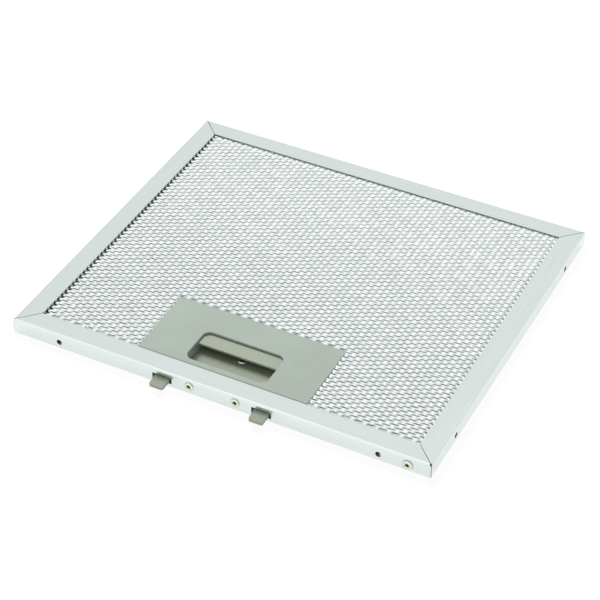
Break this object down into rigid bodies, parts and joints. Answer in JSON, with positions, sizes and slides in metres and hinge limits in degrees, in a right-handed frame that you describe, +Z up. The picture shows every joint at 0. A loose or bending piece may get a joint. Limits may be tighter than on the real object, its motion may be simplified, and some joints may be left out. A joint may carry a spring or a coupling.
{
  "type": "cooker hood grease filter",
  "caption": "Flat rectangular mesh grease filter in a folded aluminium frame, with a recessed finger handle that draws back a sprung slider with latches.",
  "frame": {"origin": "centre of the folded frame, on the plane of its back", "axes": "+X along the front rail to the right, +Y from the latches to the far rail, +Z up through the thickness to the room side"},
  "size_m": [0.305, 0.2754, 0.012],
  "materials": {
    "rolled_aluminium": "satin, as rolled",
    "expanded_aluminium": "bright, as slit and stretched",
    "grey_plastic": "fine matt moulding",
    "spring_wire": "drawn wire",
    "zinc_rivet": "zinc plated"
  },
  "bodies": {
    "filter": {"frame_channel": "rolled_aluminium", "back_mesh": "expanded_aluminium", "filter_layer_1": "expanded_aluminium", "filter_layer_2": "expanded_aluminium", "filter_layer_3": "expanded_aluminium", "filter_layer_4": "expanded_aluminium", "front_mesh": "expanded_aluminium", "handle_plate": "grey_plastic", "handle_tray": "grey_plastic", "return_spring_left": "spring_wire", "return_spring_right": "spring_wire", "handle_rivet_left": "zinc_rivet", "handle_rivet_right": "zinc_rivet", "corner_rivet": "zinc_rivet", "floor_rivet": "zinc_rivet", "rivet_washer": "zinc_rivet"},
    "slider": {"latch_slider": "grey_plastic"}
  },
  "joints": [
    {"name": "latch_slide", "type": "slide", "parent": "filter", "child": "slider", "axis": [0, 1, 0], "range_m": [0, 0.0084], "stiffness_N_per_m": 590, "springref_m": -0.005, "deforming": ["return_spring_left", "return_spring_right"]}
  ]
}
